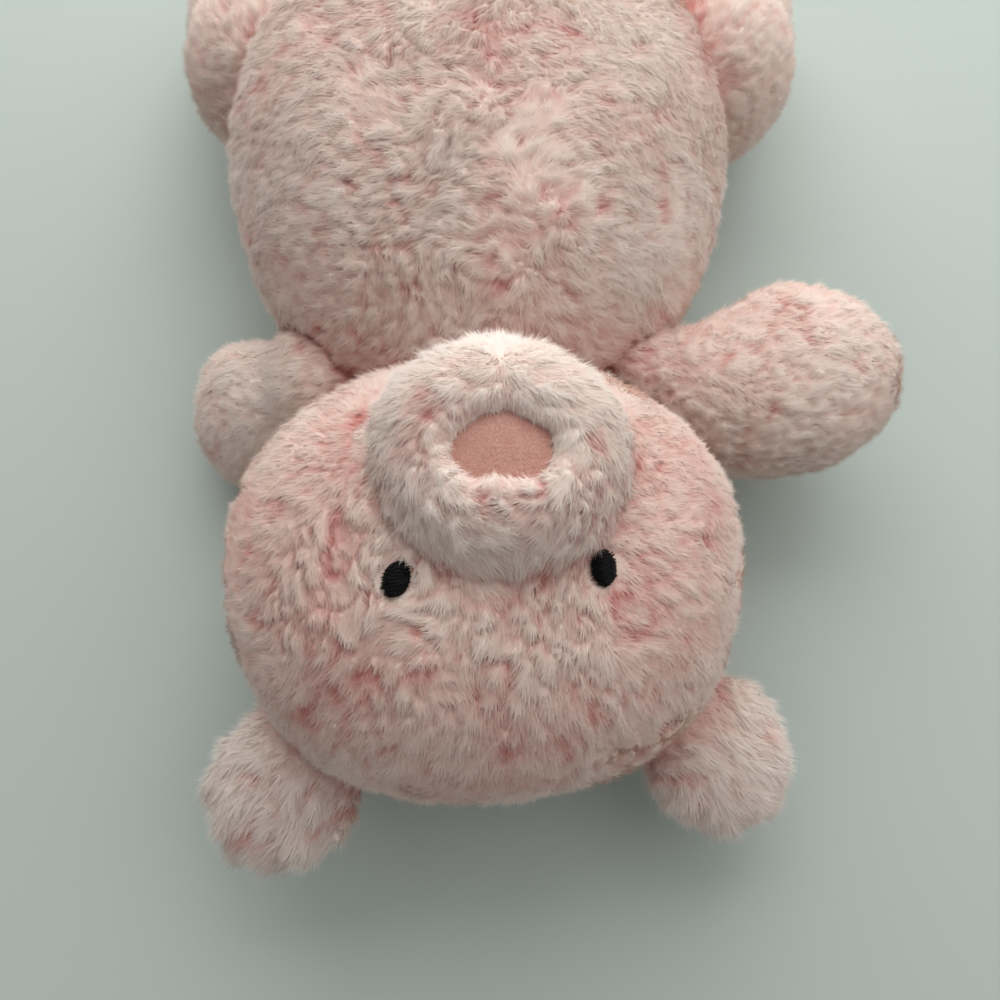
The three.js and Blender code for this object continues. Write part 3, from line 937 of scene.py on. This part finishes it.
def makeLimbSkin(limb):
    made = clothFor(limb + "Cloth", bodyNodes[limb], skins["finerVoxel"], lambda co: heldOnLimb(limb, co))
    co = points(made.data)
    reach = reachFrom(co, jointAt[limb])
    waist, bulge = ofBody(fullWaist, limb)
    co = co + normals(made.data) * (bulge * bell(reach - waist, waistWidth))[:, None]
    if limb in fullPaw:
        awayFromRoot = smoothStep(reach, 30 * mm, 80 * mm)
        co = co + awayFromRoot[:, None] * (normals(made.data) * fullPaw[limb])
    setPoints(made.data, keepOverTable(co))
    far = middleOf(*bodyNodes[limb]) - jointAt[limb]
    near = farFrom(co, *coversOf("body", "body_front", "body_back"))
    lay = {"groove": np.zeros(len(co)), "flush": np.zeros(len(co))}
    drawIn(lay, "root", near)
    partPlush(lay, "limbPartings", partings(co, 20 * mm, seed=67))
    if limb.startswith("arm"):
        drawIn(lay, "besideHead", farFrom(co, *headCovers))
    else:
        deepen(lay, "sole", bell(fromSole(limb, co), 2 * mm), 0.0)
    inside = (fromRoot(limb, co) < 1 * mm) & (near < 3 * mm)
    comb = np.tile(unit(far), (len(co), 1))
    giveLay(made, limbPanel(limb), comb, lay, dense=np.where(inside, 0.4, 1.0))
    return made


# Nose: a patch of felt, round at the crown side and drawn to a point at the other

nose = {
    "halfWidth": 14.2 * mm,
    "halfLength": 11.5 * mm,
    "aside": -0.6 * mm,  # from the middle of its bed
    "towardsCrown": -1.9 * mm,
    "pointed": 0.3,  # how far it narrows towards its point
    "flattened": 0.16,  # how far its crown side is drawn in
    "sink": 1.6 * mm,  # under the cover round it
    "dome": 0.8 * mm,
    "nap": 0.14 * mm,  # roughness of the felt's surface
    "napSize": 0.7 * mm,
    "edge": 1.6 * mm,  # how far its edge turns down
    "back": 2 * mm,  # how far under its middle a plain back closes it
    "rings": 34,
    "sectors": 120,
}


def noseOutline(angle):
    up = np.sin(angle)
    width = nose["halfWidth"] * (1 - nose["pointed"] * np.maximum(up, 0) ** 2)
    length = nose["halfLength"] * np.where(up > 0, 1.0, 1 - nose["flattened"] * up ** 2)
    return np.stack([width * np.cos(angle), length * up], axis=-1)


# The terms of a curved bed, to fit through the CAD patch's upper points.
def bedTerms(x, y):
    return np.stack([np.ones_like(x), x, y, x * x, y * y, x * y], axis=1)


def makeNose():
    rings, sectors = nose["rings"], nose["sectors"]
    centre = noseCentre()
    patch = points(nodes["nose_patch"].data) - centre
    top = patch[patch[:, 2] > np.median(patch[:, 2])]
    curve = np.linalg.lstsq(bedTerms(top[:, 0], top[:, 1]), top[:, 2], rcond=None)[0]
    outline = noseOutline(np.linspace(0, 2 * np.pi, sectors, endpoint=False))
    shares = np.arange(1, rings + 1) / rings
    flat = np.vstack([np.zeros((1, 2)), *(outline * share for share in shares)])
    share = np.concatenate([[0], np.repeat(shares, sectors)])
    height = bedTerms(flat[:, 0], flat[:, 1]) @ curve - nose["sink"] + nose["dome"] * (1 - share ** 2)
    co = np.column_stack([flat, height]) + centre
    nap = noiseAt(co, nose["napSize"], seed=12) + 0.6 * noiseAt(co, nose["napSize"] / 2.2, seed=13)
    co[:, 2] += nose["nap"] * nap * smoothStep(share, 1.0, 0.9)

    # its edge turns down under the plush, and a plain back closes it
    last = 1 + (rings - 1) * sectors
    under, back = last + sectors, last + 2 * sectors
    co = np.vstack([co, co[last:] - [0, 0, nose["edge"]], (centre - [0, 0, nose["back"]])[None]])
    steps = [(j, (j + 1) % sectors) for j in range(sectors)]
    faces = [(0, 1 + j, 1 + following) for j, following in steps]
    for first in range(1, under, sectors):
        outer = first + sectors
        faces += [(first + j, outer + j, outer + following, first + following) for j, following in steps]
    faces += [(under + j, back, under + following) for j, following in steps]
    mesh = bpy.data.meshes.new("nose")
    mesh.from_pydata(co.tolist(), [], faces)
    mesh.shade_smooth()
    mesh.materials.append(feltMaterial())
    made = link("nose_felt", mesh)
    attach(made, "head")
    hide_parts("nose_patch")
    print("nose:", len(faces), "faces")


# Eyes: satin stitches laid side by side over a pad of the same thread, with looser ones across them

stitches = {
    "Count": 24,
    "Half width": 3.5 * mm,
    "Half length": 4.6 * mm,
    "Rise": 1.9 * mm,  # of the middle of a stitch over its ends
    "Thread radius": 0.27 * mm,
    "Looseness": 0.09,  # how unevenly the stitches end
    "Slant": 0.16,  # how far they run askew
    "Lift": 1.5 * mm,  # over the cloth
}
loose = {"Count": 11, "Slant": 0.4, "Looseness": 0.12, "Rise": 2.2 * mm, "Thread radius": 0.2 * mm}
threadShape = {"stretches": 10, "sides": 6}
arch = {
    "rows": 0.98,  # how far along the eye the stitches go
    "ends": 1.05,  # how blunt the eye's ends are
    "outline": 2.3,  # how full its outline is
    "bend": 2.6,  # how suddenly a stitch bends down at its ends
    "drop": 0.6,  # how much lower it lies at the eye's ends
    "taper": 0.55,
    "askew": 0.12,
}
pad = {"wider": 1.02, "lower": 0.2 * mm, "nap": 0.12 * mm, "napSize": 0.8 * mm}
eyeTurn = {"left": -14, "right": 10}  # degrees


def threadTemplate():
    stretches, around = threadShape["stretches"], threadShape["sides"]
    step, side = np.divmod(np.arange((stretches + 1) * around), around)
    turn = 2 * math.pi * side / around
    co = np.column_stack([step / stretches, np.cos(turn), np.sin(turn)])
    faces = []
    for first in range(0, stretches * around, around):
        for j in range(around):
            a, b = first + j, first + (j + 1) % around
            faces.append((a, b, b + around, a + around))
    faces.append(tuple(reversed(range(around))))
    faces.append(tuple(range(stretches * around, (stretches + 1) * around)))
    return template("threadTemplate", co.tolist(), faces, reach=2 * step / stretches - 1, turn=turn)


# How far a value from -1 to 1 has fallen off from the middle.
def fallOff(value, power):
    return maths("POWER", maths("ABSOLUTE", value), power)


def stitchTree():
    tree, given = openTree("satinStitches", stitches, {
        "Seed": "Int", "Thread": "Object", "Black thread": "Material"})
    seed = given["Seed"]
    rows = put("GeometryNodeMeshLine", {"Count": given["Count"]}, mode="OFFSET", count_mode="TOTAL")
    index = putIn(tree, "GeometryNodeInputIndex").outputs[0]
    step = maths("DIVIDE", index, minus(given["Count"], 1.0))
    share = timesPlus(step, 2 * arch["rows"], -arch["rows"])
    unevenness = random(-1.0, 1.0, seed, 1)
    width = maths("SQRT", minus(arch["ends"], fallOff(share, arch["outline"])))
    width = times(width, timesPlus(unevenness, given["Looseness"], 1.0))
    drift = times(random(-1.0, 1.0, seed, 2), given["Looseness"])
    slant = plus(random(-arch["askew"], arch["askew"], seed, 3), given["Slant"])
    rows = out(rows)
    for name, value in (("rowShare", share), ("rowWidth", width), ("rowDrift", drift), ("rowSlant", slant)):
        rows = store(rows, name, value)
    threads = instances(rows, given["Thread"])

    # each thread arches over the pad, from one side of the eye to the other
    reach, turn = named(tree, "reach"), named(tree, "turn")
    rowShare = named(tree, "rowShare")
    half = times(named(tree, "rowWidth"), given["Half width"])
    x = times(plus(reach, named(tree, "rowDrift")), half)
    y = times(rowShare, given["Half length"])
    y = plus(times(x, named(tree, "rowSlant")), y)
    slope = minus(1.0, fallOff(reach, arch["bend"]))
    across = minus(1.0, times(fallOff(rowShare, 2.0), arch["drop"]))
    z = times(times(slope, across), given["Rise"])
    thin = timesPlus(slope, arch["taper"], 1 - arch["taper"])
    thin = times(given["Thread radius"], thin)
    y = timesPlus(maths("COSINE", turn), thin, y)
    z = timesPlus(maths("SINE", turn), thin, plus(z, given["Lift"]))
    placed = moveTo(threads, vectorOf(x, y, z))
    smooth = out(put("GeometryNodeSetShadeSmooth", {"Geometry": placed}))
    put("NodeGroupOutput", {"Geometry": paint(smooth, given["Black thread"])})
    return tree


def eyePad():
    dome = bmesh.new()
    bmesh.ops.create_uvsphere(dome, u_segments=40, v_segments=24, radius=1.0)
    mesh = bpy.data.meshes.new("eyePad")
    dome.to_mesh(mesh)
    dome.free()
    co = points(mesh)
    co = co * [pad["wider"] * stitches["Half width"], stitches["Half length"], stitches["Rise"]]
    co[:, 2] += stitches["Lift"] - pad["lower"]
    co += pad["nap"] * np.column_stack([noiseAt(co, pad["napSize"], seed) for seed in (21, 22, 23)])
    setPoints(mesh, co)
    mesh.shade_smooth()
    return mesh


def makeEyes():
    thread = threadTemplate()
    tree = stitchTree()
    surface = BVHTree.FromObject(headSkin, bpy.context.evaluated_depsgraph_get())
    for number, side in enumerate(sides):
        merged = bmesh.new()
        for run, change in enumerate(({}, loose)):
            row = link("stitches", bpy.data.meshes.new("stitches"))
            runTree(row, tree, {**stitches, **change, "Seed": 50 + 10 * number + run, "Thread": thread,
                                "Black thread": blackThread})
            merged.from_mesh(row.data)
            bpy.data.objects.remove(row)
        merged.from_mesh(eyePad())
        mesh = bpy.data.meshes.new(f"eye_{side}_stitches")
        merged.to_mesh(mesh)
        merged.free()
        at, up, _, _ = surface.find_nearest(Vector(middleOf(f"eye_{side}")))
        along = (Vector((0, 1, 0)) - up * up.y).normalized()
        facing = Matrix((along.cross(up), along, up)).transposed().to_4x4()
        around = Matrix.Rotation(math.radians(eyeTurn[side]), 4, "Z")
        mesh.transform(Matrix.Translation(at) @ facing @ around)
        mesh.materials.clear()
        mesh.materials.append(blackThread)
        dropAttributes(mesh)
        made = link(mesh.name, mesh)
        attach(made, "head")
        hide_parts(f"eye_{side}")
        print(made.name, len(mesh.polygons), "faces")
    bpy.data.objects.remove(thread)


# Materials

# plush colours from a lock's foot to its top: the deeper pinks are partly the plush's own pink foot and partly
# painted shade, the saturated colour of light bouncing deep in the plush
plushColours = {
    "deep": "#db8d85",  # at the root, between the locks: the pink foot, with painted shade of the creases
    "pink": "#eabab0",
    "cream": "#f1d5c8",
    "top": "#f5e4d9",
    "white": "#f9f1e8",  # on the muzzle and the ears
}
rampPlaces = {"deep": 0.08, "pink": 0.3, "cream": 0.55, "top": 0.85}
feltColours = ("#bb877b", "#deb2a3")
threadColours = ((0.003, 0.003, 0.0035, 1.0), (0.010, 0.0095, 0.011, 1.0))


def newMaterial(name, **sockets):
    made = bpy.data.materials.new(name)
    made.use_nodes = True
    shader = made.node_tree.nodes["Principled BSDF"]
    for key, value in sockets.items():
        shader.inputs[key.replace("_", " ")].default_value = value
    return made, made.node_tree, shader


def softMaterial(name, roughness):
    return newMaterial(name, Roughness=roughness, Sheen_Weight=0.06, Sheen_Roughness=0.5,
                       Sheen_Tint=(1.0, 0.95, 0.93, 1.0), Specular_IOR_Level=0.15)


def hexColour(text):
    share = [int(text[i:i + 2], 16) / 255 for i in (1, 3, 5)]
    return tuple(c / 12.92 if c < 0.04045 else ((c + 0.055) / 1.055) ** 2.4 for c in share) + (1.0,)


def mixColours(share, one, other):
    return put("ShaderNodeMix", {0: share, 6: one, 7: other}, data_type="RGBA").outputs[2]


def plug(socket, shader, label):
    socket.id_data.links.new(socket, shader.inputs[label])


def grain(tree, scale, detail):
    at = putIn(tree, "ShaderNodeTexCoord").outputs["Object"]
    return put("ShaderNodeTexNoise", {"Vector": at, "Scale": scale, "Detail": detail}).outputs["Fac"]


def roughen(shader, height, strength, depth):
    bump = put("ShaderNodeBump", {"Height": height, "Strength": strength, "Distance": depth})
    plug(bump.outputs[0], shader, "Normal")


def plushColourGroup():
    tree = bpy.data.node_groups.new("plushColour", "ShaderNodeTree")
    for label in ("Height", "Tint"):
        tree.interface.new_socket(label, in_out="INPUT", socket_type="NodeSocketFloat")
    tree.interface.new_socket("Colour", in_out="OUTPUT", socket_type="NodeSocketColor")
    given = putIn(tree, "NodeGroupInput").outputs
    up = put("ShaderNodeValToRGB", {"Fac": given["Height"]})
    steps = up.color_ramp.elements
    steps[0].color, steps[0].position = hexColour(plushColours["deep"]), rampPlaces["deep"]
    steps[1].color, steps[1].position = hexColour(plushColours["top"]), rampPlaces["top"]
    for key in ("pink", "cream"):
        steps.new(rampPlaces[key]).color = hexColour(plushColours[key])
    whiteness = times(maths("POWER", given["Tint"], 2.0), given["Height"])
    whiter = mixColours(whiteness, up.outputs[0], hexColour(plushColours["white"]))
    put("NodeGroupOutput", {"Colour": whiter})
    return tree


def usePlushColour(shader, height, tint):
    made = put("ShaderNodeGroup", {"Height": height, "Tint": tint}, node_tree=plushColour)
    plug(made.outputs["Colour"], shader, "Base Color")


def pileMaterial():
    made, tree, shader = softMaterial("pinkPile", 0.9)
    at = putIn(tree, "ShaderNodeUVMap", uv_map="OFBake").outputs[0]
    split = put("ShaderNodeSeparateXYZ", {"Vector": at}).outputs
    usePlushColour(shader, split["Y"], split["X"])
    return made


def clothMaterial():
    made, tree, shader = softMaterial("pileFoot", 0.95)
    shade = putIn(tree, "ShaderNodeAttribute", attribute_name="shade").outputs["Fac"]
    pale = putIn(tree, "ShaderNodeAttribute", attribute_name="pale").outputs["Fac"]
    height = timesPlus(shade, mapHeight["lock"], mapHeight["cloth"])
    usePlushColour(shader, height, pale)
    weave = grain(tree, scale=900.0, detail=3.0)
    roughen(shader, weave, strength=0.5, depth=0.4 * mm)
    return made


def feltMaterial():
    made, tree, shader = softMaterial("noseFelt", 0.95)
    speckle = grain(tree, scale=1900.0, detail=3.0)
    mottle = grain(tree, scale=260.0, detail=2.0)
    share = timesPlus(speckle, 1.5, -0.55)
    share = plus(share, timesPlus(mottle, 0.6, -0.3), clamp=True)
    colour = mixColours(share, *map(hexColour, feltColours))
    plug(colour, shader, "Base Color")
    roughen(shader, speckle, strength=0.6, depth=0.3 * mm)
    return made


def threadMaterial():
    made, tree, shader = newMaterial("blackThread", Specular_IOR_Level=0.09)
    twist = grain(tree, scale=2600.0, detail=2.0)
    colour = mixColours(twist, *threadColours)
    plug(colour, shader, "Base Color")
    plug(timesPlus(twist, 0.3, 0.14), shader, "Roughness")
    roughen(shader, twist, strength=0.4, depth=0.1 * mm)
    return made


plushColour = plushColourGroup()
pinkPile = pileMaterial()
pileFoot = clothMaterial()
blackThread = threadMaterial()
plushLocks = plushTree()
plushHairs = hairTree()

bodySkin = makeBodySkin()
headSkin = makeHeadSkin()
limbSkins = {limb: makeLimbSkin(limb) for limb in limbs}
makeNose()
makeEyes()
for made in [bodySkin, headSkin, *limbSkins.values()]:
    raiseLocks(made)

hair = template("hairTemplate", [(-1, 0, 0), (1, 0, 0), (0, 1, 0)], [(0, 1, 2)],
                along=[0.0, 0.0, 1.0], across=[-1.0, 1.0, 0.0])
panels = {
    "body": (bodySkin, ["body_front_left", "body_front_right", "body_back_left", "body_back_right"]),
    "head": (headSkin, ["face_left", "face_right", "head_back_left", "head_back_right", "muzzle",
                        "ear_left", "ear_right"]),
    **{limb: (skin, [limb + "_upper", limb + "_lower"]) for limb, skin in limbSkins.items()},
}
for seed, (body, (skin, names)) in enumerate(panels.items()):
    for index, name in enumerate(names):
        grown = growHairs(skin, name + "_pile", index, 10 * seed)
        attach(grown, body)
    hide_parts(*(part for part in bodyNodes[body] if not part.startswith(("eye", "nose"))))
    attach(skin, body)
bpy.data.objects.remove(hair)


# Floor, light and camera

studio = {
    "world": 0.29,
    "floor": "#b8c2bb",
    "floorSize": 3.0,
    # name: (place, watts, size)
    "lamps": {"window": ((-0.08, 0.79, 0.66), 12.4, 1.25), "fill": ((0.62, 0.25, 0.9), 5.2, 1.3)},
}


def buildStage():
    size = studio["floorSize"]
    mesh = bpy.data.meshes.new("floor")
    corners = [(-size, -size, 0), (size, -size, 0), (size, size, 0), (-size, size, 0)]
    mesh.from_pydata(corners, [], [(0, 1, 2, 3)])
    floor = link("floor", mesh)
    material, _, _ = newMaterial("paleFloor", Base_Color=hexColour(studio["floor"]), Roughness=0.9)
    mesh.materials.append(material)
    world = bpy.data.worlds.new("studio")
    bpy.context.scene.world = world
    world.use_nodes = True
    background = world.node_tree.nodes["Background"].inputs
    background["Color"].default_value = (1.0, 1.0, 1.0, 1.0)
    background["Strength"].default_value = studio["world"]
    for name, (at, strength, spread) in studio["lamps"].items():
        light = bpy.data.lights.new(name, "AREA")
        light.energy, light.size = strength, spread
        lamp = link(name, light)
        lamp.location = at
        lamp.rotation_euler = (-Vector(at)).to_track_quat("-Z", "Y").to_euler()


cameraAt = {
    "place": (-2.144 * mm, -154.981 * mm, 311.9 * mm),
    "down": 74,  # degrees
    "focalPixels": 800,
    "picture": 1000,
}


def buildCamera():
    camera = bpy.data.cameras.new("camera")
    camera.sensor_width = 36
    camera.lens = camera.sensor_width * cameraAt["focalPixels"] / cameraAt["picture"]
    camera.clip_start = 0.01
    made = link("camera", camera)
    made.location = cameraAt["place"]
    made.rotation_euler = (math.radians(90 - cameraAt["down"]), 0, 0)
    bpy.context.scene.camera = made


buildStage()
buildCamera()
bpy.context.scene.view_settings.view_transform = "Standard"
